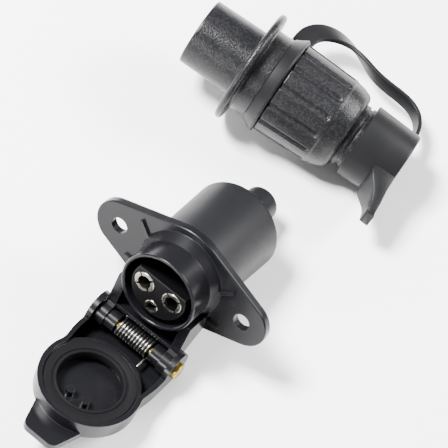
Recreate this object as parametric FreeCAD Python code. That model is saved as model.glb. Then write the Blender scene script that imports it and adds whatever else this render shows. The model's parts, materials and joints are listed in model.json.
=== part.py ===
import FreeCAD, Part

import math
import os

# Trailer wiring connector: a flange-mount socket with a sprung lid, and the
# plug that goes with it, lying behind it.  All sizes are in millimetres.
#
# Socket frame: X along the flange, Y away from the lid hinge, Z out of the
# mouth, with the flange's front face at Z = 0.
# Lid frame: X along the hinge pin, Y into the lid, Z from the pin to the tab.
# Plug frame: Z from the mating end to the cable end, Y towards the cap's tab.
# The finished set stands on Z = 0 with +Z up.

# ---------------------------------------------------------------- clearances
FIT = 0.05            # radial gap of pieces pushed or screwed together
RUNNING_FIT = 0.06    # radial gap of a pin that turns in its hole
BODY_GAP = 0.3        # gap between pieces that move past each other
SOCKET_PLUG_GAP = 0.3  # radial gap between the insert and the plug's shroud

# -------------------------------------------------------------- socket sizes
FLANGE_HOLE_SPACING = 60.0
FLANGE_HOLE_R = 3.5
FLANGE_TIP_R = 10.7
FLANGE_MARGIN = 5.0    # flange's edge beyond the collar
FLANGE_T = 3.2
FLANGE_EDGE_ROUND = 0.6
COLLAR_BORE_R = 15.0
COLLAR_WALL = 1.5
COLLAR_R = COLLAR_BORE_R + COLLAR_WALL
COLLAR_H = 15.2
COLLAR_LIP_ROUND = 0.5
HUB_STEP = 2.1        # hub's edge beyond the collar
FLANGE_CENTRE_R = COLLAR_R + FLANGE_MARGIN
HUB_R = COLLAR_R + HUB_STEP
HUB_H = 4.5
WELL_DEPTH = 11.0     # how far the bore goes behind the flange's front face
WEB_T = 3.0
WELL_WALL = 0.6       # left round the bore behind the flange
BARREL_R = COLLAR_BORE_R + WELL_WALL
BARREL_WALL = 2.4
BARREL_LENGTH = 20.0
RIB_T = 1.2
RIB_H = 1.0
RIB_UPPER = ((16.0, 4.2), (22.6, 10.3))
RIB_LOWER = ((15.9, -10.2), (23.1, -10.1))

SHROUD_ROOM = 2.8     # for the plug's shroud round the insert
INSERT_R = COLLAR_BORE_R - SHROUD_ROOM
INSERT_FLAT_Y = 5.2
INSERT_RECESS = 0.6
INSERT_REAR_LENGTH = 6.0
INSERT_EDGE_ROUND = 0.5
POWER_X = 6.56
SIGNAL_Y = -8.3
POWER_SLEEVE_R = 4.35
POWER_PIN_R = 2.75
SIGNAL_SLEEVE_R = 2.85
SIGNAL_PIN_R = 1.6
SLEEVE_STAND_OUT = 0.3
SLEEVE_BORE_DEPTH = 21.0
SLEEVE_SLIT = 0.7
SLEEVE_SLIT_DEPTH = 12.0
SLEEVE_TAIL = 7.0     # how far a sleeve stands out behind the insert
SCREW_R = 1.5
SCREW_LENGTH = 3.2
SCREW_SLOT_W = 0.6
SCREW_SLOT_DEPTH = 0.8

HINGE_Y = -28.0       # hinge pin's place in the socket frame
HINGE_Z = 14.2
PIN_R = 2.0
PIN_HEAD_R = 3.6
PIN_HEAD_T = 1.6
PIN_HEAD_ROUND = 0.6
PIN_TAIL = 1.3
CLIP_T = 0.6
CLIP_R = 3.4
CLIP_GROOVE = 0.4
CLIP_MOUTH = 2.4
KNUCKLE_R = 4.8
ARM_OUTER_X = 17.5
ARM_T = 4.0
ARM_TOP_Y = -7.0
ARM_FRONT_Z = 12.9
SPRING_SEAT_R = 3.9

SPRING_R = 4.1
SPRING_WIRE_R = 0.6
SPRING_LEG_R = 0.55
SPRING_TURNS = 12
SPRING_LENGTH = 16.8
BRIDGE_T = 1.5         # curved wall behind the spring
BRIDGE_TOP = 1.5       # its edges' distance below the pin's middle

LID_MARGIN = 4.1      # lid's edge beyond the collar
LID_R = COLLAR_R + LID_MARGIN
LID_H = 9.0           # outer face to rim
LID_WALL = 1.9
LID_FLOOR_T = 2.0
LID_LIP = 1.0         # how far the rim laps over the collar when shut
LID_BOX_X = 20.1      # half width of the hinge box
LID_BOX_TOP_Z = 8.0
LID_BOX_BACK_Z = -5.5
LID_NECK_X = 19.9
LID_NECK_LEAN = 18.0  # where the round part takes over, in degrees
LID_CHEEK_R = 7.4
LID_OPEN = 95.7       # rest angle of the lid, measured from shut
LID_EDGE_ROUND = 1.4
TAB_ROOT_X = 11.2
TAB_TIP_X = 7.2
TAB_TIP_Z = 57.8
TAB_T = 3.0
TAB_ROUND = 3.6
SEAL_OUTER_LAP = 1.7   # seal beyond the collar's outside
SEAL_INNER_LAP = 2.1   # seal inside the collar's bore
SEAL_OUTER_R = COLLAR_R + SEAL_OUTER_LAP
SEAL_INNER_R = COLLAR_BORE_R - SEAL_INNER_LAP
SEAL_T = 3.4
SEAL_LIP_W = 1.2
SEAL_LIP_H = 0.7
SEAL_GROOVE_W = 0.8
SEAL_SEAT_WALL = 1.5
NUB_X = 3.6
NUB_Z = 6.2           # beyond the middle of the lid
NUB_R = 1.7
NUB_H = 3.2

BOOT_FRONT_SWELL = 2.7  # boot's outside beyond the barrel
BOOT_REAR_SWELL = 3.5
BOOT_FRONT_R = BARREL_R + BOOT_FRONT_SWELL
BOOT_REAR_R = BARREL_R + BOOT_REAR_SWELL
BOOT_LENGTH = 38.0
BOOT_WALL = 2.0
BOOT_REAR_ROUND = 2.5
NOZZLE_ROOT_R = 8.0
NOZZLE_TIP_R = 7.2
NOZZLE_LENGTH = 18.6
NOZZLE_BORE_R = 4.5
NOZZLE_ROUND = 1.5

# ---------------------------------------------------------------- plug sizes
SHROUD_TIP_GAP = 0.55  # radial gap in the socket's bore
SHROUD_ROOT_GAP = 0.2
SHROUD_TIP_R = COLLAR_BORE_R - SHROUD_TIP_GAP
SHROUD_ROOT_R = COLLAR_BORE_R - SHROUD_ROOT_GAP
SHROUD_ROUND = 0.8
DISC_Z = 24.0
DISC_T = 3.0
DISC_R = 24.7
DISC_FOOT = 0.7        # chamfered roots on both sides of the disc
SLEEVE_R = 18.5       # plain cylinder behind the disc
SLEEVE_END_Z = 34.4
SPIGOT_R = 15.4
SPIGOT_END_Z = 50.0
THREAD_PITCH = 2.5
THREAD_DEPTH = 0.6
PLUG_BORE_R = 13.0    # behind the mating cavity
CAVITY_DEPTH = 20.0
PLUG_PIN_TIP_Z = 4.0
PLUG_INSERT_LENGTH = 20.0
PIN_TAIL_LENGTH = 7.0

RING_FRONT_R = 19.3
RING_LIP_R = 21.9
RING_LIP_T = 1.4
RING_LENGTH = 5.8

GRIP_START_R = 20.4
GRIP_LAND_END_R = 19.6
GRIP_REAR_R = 17.9
GRIP_LAND_LENGTH = 24.4
GRIP_LENGTH = 33.0
GRIP_WALL = 2.2
GRIP_STEP = 0.7
GRIP_GROOVES = 14
GROOVE_R = 1.1
GROOVE_DEPTH = 0.9
GRIP_REAR_ROUND = 3.4
GRIP_BACK_T = 3.0
O_RING_WIRE_R = 0.8

NECK_R = 13.8
NECK_LENGTH = 5.4
NECK_GROOVE_W = 1.2
NECK_GROOVE_DEPTH = 0.8
NUT_SHANK_R = 11.4
NUT_TAIL_R = 12.4
NUT_TAIL_LENGTH = 12.0
NUT_BORE_R = 8.4
CABLE_BORE_R = 4.5
BUSH_LENGTH = 14.0
GLAND_WASHER_T = 1.2

CAP_MOUTH_R = 16.1
CAP_END_R = 15.2
CAP_LENGTH = 20.7
CAP_WALL = 2.0
CAP_EDGE_ROUND = 0.8
CAP_TAB_REACH = 31.0  # tip's distance from the axis
CAP_TAB_ROOT_W = 17.5
CAP_TAB_TIP_W = 8.6
CAP_TAB_ROOT_T = 9.8
CAP_TAB_TIP_T = 3.6

STRAP_W = 9.0
STRAP_T = 2.2
STRAP_REACH = 41.0    # outermost distance of the strap's corners from the axis
STRAP_DIP = 9.5       # how much nearer the strap runs past its first bow

# ------------------------------------------------------------------- layout
PLUG_X = -39.0        # disc centre from the flange centre
PLUG_Y = 94.5
PLUG_YAW = 7.7
PLUG_ROLL = -8.8

# ------------------------------------------------------- sizes that follow
HUB_BACK_Z = -FLANGE_T
INSERT_FACE_Z = COLLAR_H - INSERT_RECESS
INSERT_REAR_Z = -WELL_DEPTH - WEB_T - INSERT_REAR_LENGTH
ARM_INNER_X = ARM_OUTER_X - ARM_T
CHEEK_INNER_X = ARM_OUTER_X + BODY_GAP
CHEEK_OUTER_X = LID_BOX_X
LID_CENTRE_Z = -HINGE_Y
LID_RIM_Y = HINGE_Z - COLLAR_H + LID_LIP
LID_FACE_Y = LID_RIM_Y - LID_H
LID_FLOOR_Y = LID_FACE_Y + LID_FLOOR_T
SEAL_FACE_Y = HINGE_Z - COLLAR_H
SEAT_R = SEAL_OUTER_R + FIT + SEAL_SEAT_WALL
LID_BACK_WALL_Z = LID_CENTRE_Z - SEAT_R
BRIDGE_R = -LID_FLOOR_Y - BODY_GAP
BOOT_REAR_Z = HUB_BACK_Z - BOOT_LENGTH
DISC_MID_Z = DISC_Z + DISC_T / 2
SHROUD_BORE_R = INSERT_R + SOCKET_PLUG_GAP
RING_Z = SLEEVE_END_Z + FIT
GRIP_Z = RING_Z + RING_LENGTH + BODY_GAP
GRIP_END_Z = GRIP_Z + GRIP_LENGTH
GRIP_BORE_R = SPIGOT_R + FIT
CAP_Z = GRIP_END_Z + NECK_LENGTH - 1.0
CAP_END_Z = CAP_Z + CAP_LENGTH
ORIGIN = FreeCAD.Vector(0, 0, 0)
X_AXIS = FreeCAD.Vector(1, 0, 0)
Y_AXIS = FreeCAD.Vector(0, 1, 0)
Z_AXIS = FreeCAD.Vector(0, 0, 1)
EPS = 0.01


# ------------------------------------------------------------------ helpers
def vec(x, y, z):
    return FreeCAD.Vector(x, y, z)


def cylinder(radius, z0, z1, x=0.0, y=0.0):
    """Upright cylinder between two heights."""
    return Part.makeCylinder(radius, z1 - z0, vec(x, y, z0))


def cylinder_x(radius, x0, x1, y=0.0, z=0.0):
    """Cylinder along X between two places."""
    return Part.makeCylinder(radius, x1 - x0, vec(x0, y, z), X_AXIS)


def cone(r0, r1, z0, z1):
    """Cone or tapered cylinder, or a plain one when both radii are equal."""
    if abs(r0 - r1) < EPS:
        return cylinder(r0, z0, z1)
    return Part.makeCone(r0, r1, z1 - z0, vec(0, 0, z0))


def box(x0, x1, y0, y1, z0, z1):
    return Part.makeBox(x1 - x0, y1 - y0, z1 - z0, vec(x0, y0, z0))


def prism(points, axis_vector):
    """Closed polygon of (x, y, z) points pushed along a vector."""
    wire = Part.makePolygon([vec(*p) for p in points] + [vec(*points[0])])
    return Part.Face(wire).extrude(axis_vector)


def revolve(profile):
    """Solid turned about Z from a closed profile of (radius, z) points."""
    points = [vec(r, 0, z) for r, z in profile]
    face = Part.Face(Part.makePolygon(points + [points[0]]))
    return face.revolve(ORIGIN, Z_AXIS, 360)


def fuse(shapes):
    return shapes[0].multiFuse(shapes[1:]).removeSplitter()


def cut(shape, tools):
    return shape.cut(Part.makeCompound(tools)).removeSplitter()


def circle_edges(shape, radius, z):
    """Full or part circles of one radius about Z that lie at one height."""
    found = []
    for edge in shape.Edges:
        curve = edge.Curve
        if not isinstance(curve, Part.Circle):
            continue
        same_radius = abs(curve.Radius - radius) < EPS
        same_height = abs(curve.Center.z - z) < EPS
        if same_radius and same_height:
            found.append(edge)
    return found


def round_circle(shape, radius, z, size):
    return shape.makeFillet(size, circle_edges(shape, radius, z))


# ------------------------------------------------------------------- socket
def flange_outline(z):
    """Two round tips and a round middle joined by tangent lines."""
    half = FLANGE_HOLE_SPACING / 2
    lean = math.acos((FLANGE_CENTRE_R - FLANGE_TIP_R) / half)
    c = math.cos(lean)
    s = math.sin(lean)
    tip_up = vec(half + FLANGE_TIP_R * c, FLANGE_TIP_R * s, z)
    mid_up = vec(FLANGE_CENTRE_R * c, FLANGE_CENTRE_R * s, z)

    def mirror(p, sx, sy):
        return vec(sx * p.x, sy * p.y, z)

    right_end = vec(half + FLANGE_TIP_R, 0, z)
    top = vec(0, FLANGE_CENTRE_R, z)
    edges = [
        Part.Arc(mirror(tip_up, 1, -1), right_end, tip_up).toShape(),
        Part.makeLine(tip_up, mid_up),
        Part.Arc(mid_up, top, mirror(mid_up, -1, 1)).toShape(),
        Part.makeLine(mirror(mid_up, -1, 1), mirror(tip_up, -1, 1)),
        Part.Arc(mirror(tip_up, -1, 1), mirror(right_end, -1, 1), mirror(tip_up, -1, -1)).toShape(),
        Part.makeLine(mirror(tip_up, -1, -1), mirror(mid_up, -1, -1)),
        Part.Arc(mirror(mid_up, -1, -1), mirror(top, 1, -1), mirror(mid_up, 1, -1)).toShape(),
        Part.makeLine(mirror(mid_up, 1, -1), mirror(tip_up, 1, -1)),
    ]
    return Part.Wire(edges)


def flange_plate():
    plate = Part.Face(flange_outline(HUB_BACK_Z)).extrude(vec(0, 0, FLANGE_T))
    front_edges = [e for e in plate.Edges if abs(e.BoundBox.ZMin) < EPS and abs(e.BoundBox.ZMax) < EPS]
    return plate.makeFillet(FLANGE_EDGE_ROUND, front_edges)


def flange_ribs():
    """Four short raised ribs on the flange's front face."""
    ribs = []
    for ends in (RIB_UPPER, RIB_LOWER):
        for side in (1, -1):
            start = vec(side * ends[0][0], ends[0][1], -EPS)
            end = vec(side * ends[1][0], ends[1][1], -EPS)
            along = end - start
            rib = box(0, along.Length, -RIB_T / 2, RIB_T / 2, 0, RIB_H)
            turn = FreeCAD.Rotation(X_AXIS, along)
            rib.Placement = FreeCAD.Placement(start, turn)
            ribs.append(rib)
    return ribs


def hinge_arm(side):
    """Cheek from the collar down to the hinge pin, with a spring seat on it."""
    x0 = ARM_INNER_X if side > 0 else -ARM_OUTER_X
    knuckle = cylinder_x(KNUCKLE_R, x0, x0 + ARM_T, HINGE_Y, HINGE_Z)
    lower_z = HINGE_Z - KNUCKLE_R
    outline = [
        (x0, ARM_TOP_Y, HUB_BACK_Z + EPS),
        (x0, ARM_TOP_Y, ARM_FRONT_Z),
        (x0, HINGE_Y + KNUCKLE_R + 1.0, ARM_FRONT_Z),
        (x0, HINGE_Y, HINGE_Z + KNUCKLE_R),
        (x0, HINGE_Y - KNUCKLE_R * 0.7, HINGE_Z - KNUCKLE_R * 0.7),
        (x0, HINGE_Y, lower_z),
        (x0, -FLANGE_CENTRE_R * 0.78, HUB_BACK_Z + EPS),
    ]
    cheek = prism(outline, vec(ARM_T, 0, 0))
    seat_x0 = SPRING_LENGTH / 2 + BODY_GAP if side > 0 else -ARM_INNER_X
    seat_x1 = ARM_INNER_X if side > 0 else -SPRING_LENGTH / 2 - BODY_GAP
    seat = cylinder_x(SPRING_SEAT_R, seat_x0, seat_x1, HINGE_Y, HINGE_Z)
    return [knuckle, cheek, seat]


def spring_bridge():
    """Curved wall between the arms, behind the spring, on a rib from the flange."""
    top_z = HINGE_Z - BRIDGE_TOP
    tube = cylinder_x(BRIDGE_R, -ARM_INNER_X - EPS, ARM_INNER_X + EPS, HINGE_Y, HINGE_Z)
    hollow = cylinder_x(BRIDGE_R - BRIDGE_T, -ARM_OUTER_X, ARM_OUTER_X, HINGE_Y, HINGE_Z)
    far = ARM_OUTER_X + KNUCKLE_R
    mouth = box(-far, far, HINGE_Y - far, HINGE_Y + far, top_z, top_z + far)
    trough = cut(tube, [hollow, mouth])
    wall_y = HINGE_Y + math.sqrt(BRIDGE_R ** 2 - BRIDGE_TOP ** 2)
    wall = box(-ARM_INNER_X - EPS, ARM_INNER_X + EPS, wall_y - BRIDGE_T, wall_y, HUB_BACK_Z + EPS, top_z)
    return [trough, wall.cut(hollow)]


def socket_housing():
    solids = [flange_plate()]
    solids.append(cone(HUB_R, COLLAR_R, 0, HUB_H))
    solids.append(cylinder(COLLAR_R, HUB_BACK_Z, COLLAR_H))
    solids.append(cylinder(BARREL_R, -BARREL_LENGTH, 0))
    solids += flange_ribs()
    solids += hinge_arm(1)
    solids += hinge_arm(-1)
    solids += spring_bridge()
    body = fuse(solids)
    tools = [cylinder(COLLAR_BORE_R, -WELL_DEPTH, COLLAR_H + 1)]
    tools.append(cylinder(INSERT_R + FIT, -BARREL_LENGTH - 1, 0))
    tools.append(cylinder(BARREL_R - BARREL_WALL, -BARREL_LENGTH - 1, -WELL_DEPTH - WEB_T))
    for side in (1, -1):
        x = side * FLANGE_HOLE_SPACING / 2
        tools.append(cylinder(FLANGE_HOLE_R, HUB_BACK_Z - 1, 1, x))
    tools.append(cylinder_x(PIN_R + RUNNING_FIT, -ARM_OUTER_X - 1, ARM_OUTER_X + 1, HINGE_Y, HINGE_Z))
    body = cut(body, tools)
    body = round_circle(body, COLLAR_R, COLLAR_H, COLLAR_LIP_ROUND)
    return round_circle(body, COLLAR_BORE_R, COLLAR_H, COLLAR_LIP_ROUND)


def contact_places():
    """Name, x, y and radii of the three contacts."""
    return [
        ("power_left", -POWER_X, 0.0, POWER_SLEEVE_R, POWER_PIN_R, 4),
        ("power_right", POWER_X, 0.0, POWER_SLEEVE_R, POWER_PIN_R, 4),
        ("signal", 0.0, SIGNAL_Y, SIGNAL_SLEEVE_R, SIGNAL_PIN_R, 2),
    ]


def contact_insert():
    """Moulded carrier with a flat on top, so that the plug goes in one way."""
    body = cylinder(INSERT_R, INSERT_REAR_Z, INSERT_FACE_Z)
    flat = box(-INSERT_R, INSERT_R, INSERT_FLAT_Y, INSERT_R + 1, -WELL_DEPTH, INSERT_FACE_Z + 1)
    body = cut(body, [flat])
    front = [e for e in body.Edges if e.BoundBox.ZMin > INSERT_FACE_Z - EPS]
    body = body.makeFillet(INSERT_EDGE_ROUND, front)
    holes = []
    for _, x, y, radius, _, _ in contact_places():
        holes.append(cylinder(radius + FIT, INSERT_REAR_Z - 1, INSERT_FACE_Z + 1, x, y))
    return cut(body, holes)


def contact_sleeve(x, y, radius, pin_radius, slits):
    """Slit tube that grips a pin, with a screw terminal behind."""
    top = INSERT_FACE_Z + SLEEVE_STAND_OUT
    bottom = INSERT_REAR_Z - SLEEVE_TAIL
    body = cylinder(radius, bottom, top)
    body = round_circle(body, radius, top, 0.25)
    tools = [cylinder(pin_radius + FIT, top - SLEEVE_BORE_DEPTH, top + 1)]
    wire_bore_top = INSERT_REAR_Z + 1.0
    tools.append(cylinder(radius * 0.55, bottom - 1, wire_bore_top))
    for k in range(slits // 2):
        slit = box(-radius - 1, radius + 1, -SLEEVE_SLIT / 2, SLEEVE_SLIT / 2,
                   top - SLEEVE_SLIT_DEPTH, top + 1)
        slit.rotate(ORIGIN, Z_AXIS, 45 + 180.0 * k / (slits // 2))
        tools.append(slit)
    screw_z = INSERT_REAR_Z - SLEEVE_TAIL / 2
    tools.append(Part.makeCylinder(SCREW_R + FIT, radius + 1, vec(0, 0, screw_z), Y_AXIS))
    body = cut(body, tools)
    body.translate(vec(x, y, 0))
    return body


def terminal_screw(x, y, radius, z):
    """Slotted grub screw standing across a terminal."""
    foot = radius * 0.55
    screw = Part.makeCylinder(SCREW_R, SCREW_LENGTH, vec(0, foot, z), Y_AXIS)
    slot_y = foot + SCREW_LENGTH - SCREW_SLOT_DEPTH
    low, high = z - SCREW_SLOT_W / 2, z + SCREW_SLOT_W / 2
    slot = box(-SCREW_R - 1, SCREW_R + 1, slot_y, slot_y + SCREW_LENGTH, low, high)
    screw = cut(screw, [slot])
    screw.translate(vec(x, y, 0))
    return screw


def socket_terminal_screws():
    z = INSERT_REAR_Z - SLEEVE_TAIL / 2
    return Part.makeCompound([terminal_screw(x, y, r, z) for _, x, y, r, _, _ in contact_places()])


def rear_boot():
    """Soft sleeve over the rear barrel, with a cable nozzle."""
    front_z = HUB_BACK_Z - FIT
    outer = cone(BOOT_REAR_R, BOOT_FRONT_R, BOOT_REAR_Z, front_z)
    outer = round_circle(outer, BOOT_REAR_R, BOOT_REAR_Z, BOOT_REAR_ROUND)
    tip_z = BOOT_REAR_Z - NOZZLE_LENGTH
    nozzle = cone(NOZZLE_TIP_R, NOZZLE_ROOT_R, tip_z, BOOT_REAR_Z + BOOT_WALL)
    nozzle = round_circle(nozzle, NOZZLE_TIP_R, tip_z, NOZZLE_ROUND)
    body = fuse([outer, nozzle])
    barrel_end = -BARREL_LENGTH - FIT
    tools = [cylinder(BARREL_R + FIT, barrel_end, front_z + 1)]
    tools.append(cylinder(BARREL_R - 0.2, BOOT_REAR_Z + BOOT_WALL, barrel_end + EPS))
    tools.append(cylinder(NOZZLE_BORE_R, tip_z - 1, BOOT_REAR_Z + BOOT_WALL + 1))
    return cut(body, tools)


# ---------------------------------------------------------------- the hinge
def hinge_pin():
    """Plated pin with a domed head on the right and a clip groove on the left."""
    head_x = CHEEK_OUTER_X + FIT
    shank = cylinder_x(PIN_R, -CHEEK_OUTER_X - PIN_TAIL, head_x + EPS)
    head = cylinder_x(PIN_HEAD_R, head_x, head_x + PIN_HEAD_T)
    outer = [e for e in head.Edges if e.BoundBox.XMin > head_x + PIN_HEAD_T - EPS]
    head = head.makeFillet(PIN_HEAD_ROUND, outer)
    pin = fuse([shank, head])
    groove_x = -CHEEK_OUTER_X - BODY_GAP - CLIP_T - FIT
    ring = cylinder_x(PIN_R + 1, groove_x, groove_x + CLIP_T + 2 * FIT)
    core = cylinder_x(PIN_R - CLIP_GROOVE, groove_x - 1, groove_x + CLIP_T + 1)
    return pin.cut(ring.cut(core)).removeSplitter()


def hinge_pin_clip():
    """Open retaining clip that snaps into the pin's groove."""
    x = -CHEEK_OUTER_X - BODY_GAP - CLIP_T
    disc = cylinder_x(CLIP_R, x, x + CLIP_T)
    bore = cylinder_x(PIN_R - CLIP_GROOVE + FIT, x - 1, x + CLIP_T + 1)
    mouth = box(x - 1, x + CLIP_T + 1, -CLIP_MOUTH / 2, CLIP_MOUTH / 2, 0, CLIP_R + 1)
    return cut(disc, [bore, mouth])


def torsion_spring():
    """Close-wound coil on the pin: one leg on the housing, one on the lid."""
    mean_r = SPRING_R - SPRING_WIRE_R
    leg = LID_BACK_WALL_Z - BODY_GAP
    start = SPRING_LENGTH / 2 - SPRING_WIRE_R
    pitch = 2 * start / (SPRING_TURNS - 1)
    bore_r = mean_r - SPRING_WIRE_R * 2 / 3
    bridge_bore_r = BRIDGE_R - BRIDGE_T - 2 * FIT
    housing_reach = math.sqrt(bridge_bore_r ** 2 - (mean_r + SPRING_LEG_R) ** 2)
    body = cylinder_x(mean_r, -start, start)
    for k in range(SPRING_TURNS):
        coil = Part.makeTorus(mean_r, SPRING_WIRE_R, vec(-start + k * pitch, 0, 0), X_AXIS)
        body = body.fuse(coil)
    body = body.cut(cylinder_x(bore_r, -SPRING_LENGTH, SPRING_LENGTH))
    lid_leg = Part.makeCylinder(SPRING_LEG_R, leg, vec(start, -mean_r, 0), Z_AXIS)
    housing_leg = Part.makeCylinder(SPRING_LEG_R, housing_reach, vec(-start, 0, -mean_r), Y_AXIS)
    return body.fuse(lid_leg).fuse(housing_leg)


# -------------------------------------------------------------------- lid
def lid_outline(inset, y):
    """Round lid with a straight-sided hinge box, drawn in one plane."""
    radius = LID_R - inset
    half = LID_BOX_X - inset
    neck = LID_NECK_X - inset
    back = LID_BOX_BACK_Z + inset
    lean = math.radians(LID_NECK_LEAN)
    join = vec(radius * math.cos(lean), y, LID_CENTRE_Z - radius * math.sin(lean))
    along_join = vec(math.sin(lean), 0, math.cos(lean))
    shoulder = vec(half, y, LID_BOX_TOP_Z)
    waist = vec(neck, y, (LID_BOX_TOP_Z + join.z) / 2)
    side = Part.BSplineCurve()
    side.interpolate(Points=[shoulder, waist, join], InitialTangent=Z_AXIS, FinalTangent=along_join)
    corner = vec(half, y, back)
    far = vec(0, y, LID_CENTRE_Z + radius)
    right = side.toShape()
    left_side = right.mirror(ORIGIN, X_AXIS)

    def left(p):
        return vec(-p.x, y, p.z)

    edges = [
        Part.makeLine(left(corner), corner),
        Part.makeLine(corner, shoulder),
        right,
        Part.Arc(join, far, left(join)).toShape(),
        left_side,
        Part.makeLine(left(shoulder), left(corner)),
    ]
    return Part.Face(Part.Wire(Part.__sortEdges__(edges)))


def disc_y(radius, y0, y1, x=0.0, z=0.0):
    """Disc or boss standing along Y."""
    return Part.makeCylinder(radius, y1 - y0, vec(x, y0, z), Y_AXIS)


def lid_tab():
    """Tapered finger tab at the far end, flush with the outer face."""
    root_z = LID_CENTRE_Z + math.sqrt(LID_R ** 2 - TAB_ROOT_X ** 2) - 1.0
    y = LID_FACE_Y
    root = [(-TAB_ROOT_X, y, root_z), (TAB_ROOT_X, y, root_z)]
    points = root + [(TAB_TIP_X, y, TAB_TIP_Z), (-TAB_TIP_X, y, TAB_TIP_Z)]
    tab = prism(points, vec(0, TAB_T, 0))
    corners = []
    for edge in tab.Edges:
        bounds = edge.BoundBox
        upright = bounds.YLength > TAB_T - EPS
        at_tip = bounds.ZMin > TAB_TIP_Z - EPS
        if upright and at_tip:
            corners.append(edge)
    return tab.makeFillet(TAB_ROUND, corners)


def lid():
    shell = lid_outline(0, LID_FACE_Y).extrude(vec(0, LID_H, 0))
    shell = shell.makeFillet(LID_EDGE_ROUND, [e for e in shell.Edges if e.BoundBox.YMax < LID_FACE_Y + EPS])
    inside = lid_outline(LID_WALL, LID_FLOOR_Y).extrude(vec(0, LID_H, 0))
    back_gap = box(-ARM_OUTER_X - BODY_GAP, ARM_OUTER_X + BODY_GAP, LID_FLOOR_Y, LID_RIM_Y + 1,
                   LID_BOX_BACK_Z - 1, LID_BOX_BACK_Z + LID_WALL + 1)
    shell = cut(shell, [inside, back_gap])
    seat = disc_y(SEAT_R, LID_FLOOR_Y - EPS, SEAL_FACE_Y - BODY_GAP, 0, LID_CENTRE_Z)
    seat_hollow = disc_y(SEAL_OUTER_R + FIT, LID_FLOOR_Y - 1, LID_RIM_Y + 1, 0, LID_CENTRE_Z)
    seat = seat.cut(seat_hollow)
    seal_back = SEAL_FACE_Y - SEAL_T
    step = disc_y(SEAL_OUTER_R + 2 * FIT, LID_FLOOR_Y - EPS, seal_back, 0, LID_CENTRE_Z)
    step = step.cut(disc_y(SEAL_INNER_R + 1.4, LID_FLOOR_Y - 1, LID_RIM_Y, 0, LID_CENTRE_Z))
    solids = [shell, seat, step, lid_tab()]
    for side in (1, -1):
        x0 = CHEEK_INNER_X if side > 0 else -CHEEK_OUTER_X
        solids.append(cylinder_x(LID_CHEEK_R, x0, x0 + CHEEK_OUTER_X - CHEEK_INNER_X))
        nub_z = LID_CENTRE_Z + NUB_Z
        solids.append(disc_y(NUB_R, LID_FLOOR_Y - EPS, LID_FLOOR_Y + NUB_H, side * NUB_X, nub_z))
    body = fuse(solids)
    bore = cylinder_x(PIN_R + RUNNING_FIT, -CHEEK_OUTER_X - 1, CHEEK_OUTER_X + 1)
    return cut(body, [bore])


def lid_seal():
    """Flat rubber ring with a raised inner lip that meets the collar."""
    back = SEAL_FACE_Y - SEAL_T + FIT
    ring = disc_y(SEAL_OUTER_R, back, SEAL_FACE_Y, 0, LID_CENTRE_Z)
    ring = ring.cut(disc_y(SEAL_INNER_R, back - 1, SEAL_FACE_Y + 1, 0, LID_CENTRE_Z))
    groove_r = SEAL_INNER_R + SEAL_LIP_W + SEAL_GROOVE_W
    groove = disc_y(groove_r, SEAL_FACE_Y - SEAL_LIP_H, SEAL_FACE_Y + 1, 0, LID_CENTRE_Z)
    groove = groove.cut(disc_y(SEAL_INNER_R + SEAL_LIP_W, SEAL_FACE_Y - 2, SEAL_FACE_Y + 2, 0, LID_CENTRE_Z))
    return ring.cut(groove).removeSplitter()


# --------------------------------------------------------------------- plug
def keyed_bore(z0, z1):
    """Round bore with a flat, matching the socket's insert."""
    bore = cylinder(SHROUD_BORE_R, z0, z1)
    key_y = INSERT_FLAT_Y + SOCKET_PLUG_GAP
    key = box(-SHROUD_BORE_R, SHROUD_BORE_R, key_y, SHROUD_BORE_R + 1, z0 - 1, z1 + 1)
    return bore.cut(key)


def thread_rings(radius, z0, z1):
    """Ring grooves that stand for the thread on the spigot."""
    rings = []
    turns = int((z1 - z0) / THREAD_PITCH)
    for k in range(turns):
        z = z0 + (k + 0.5) * THREAD_PITCH
        half = THREAD_PITCH / 4
        outer = radius + EPS
        edge = [(outer + 1, z - half - 1), (outer + 1, z + half + 1)]
        rings.append(revolve([(radius - THREAD_DEPTH, z)] + edge))
    return rings


def plug_front_housing():
    shroud = cone(SHROUD_TIP_R, SHROUD_ROOT_R, 0, DISC_Z + EPS)
    shroud = round_circle(shroud, SHROUD_TIP_R, 0, SHROUD_ROUND)
    disc = cylinder(DISC_R, DISC_Z, DISC_Z + DISC_T)
    rim_round = DISC_T / 2 - 0.1
    rims = circle_edges(disc, DISC_R, DISC_Z) + circle_edges(disc, DISC_R, DISC_Z + DISC_T)
    disc = disc.makeFillet(rim_round, rims)
    collar = cylinder(SLEEVE_R, DISC_Z, SLEEVE_END_Z)
    foot = DISC_FOOT
    root = cone(SLEEVE_R + foot, SLEEVE_R, DISC_Z + DISC_T - EPS, DISC_Z + DISC_T + foot)
    front_root = cone(SHROUD_ROOT_R, SHROUD_ROOT_R + foot, DISC_Z - foot, DISC_Z + EPS)
    spigot = cylinder(SPIGOT_R, DISC_Z, SPIGOT_END_Z)
    body = fuse([shroud, disc, collar, root, front_root, spigot])
    tools = [keyed_bore(-1, CAVITY_DEPTH)]
    tools.append(cylinder(PLUG_BORE_R, CAVITY_DEPTH, SPIGOT_END_Z + 1))
    body = cut(body, tools)
    thread_start = GRIP_Z + O_RING_WIRE_R * 4
    return cut(body, thread_rings(SPIGOT_R, thread_start, SPIGOT_END_Z))


def plug_insert():
    """Pin carrier behind the mating cavity."""
    z0 = CAVITY_DEPTH
    body = cylinder(PLUG_BORE_R - FIT, z0, z0 + PLUG_INSERT_LENGTH)
    holes = []
    for _, x, y, _, radius, _ in contact_places():
        holes.append(cylinder(radius + 0.6 + FIT, z0 - 1, z0 + PLUG_INSERT_LENGTH + 1, -x, y))
    return cut(body, holes)


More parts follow.
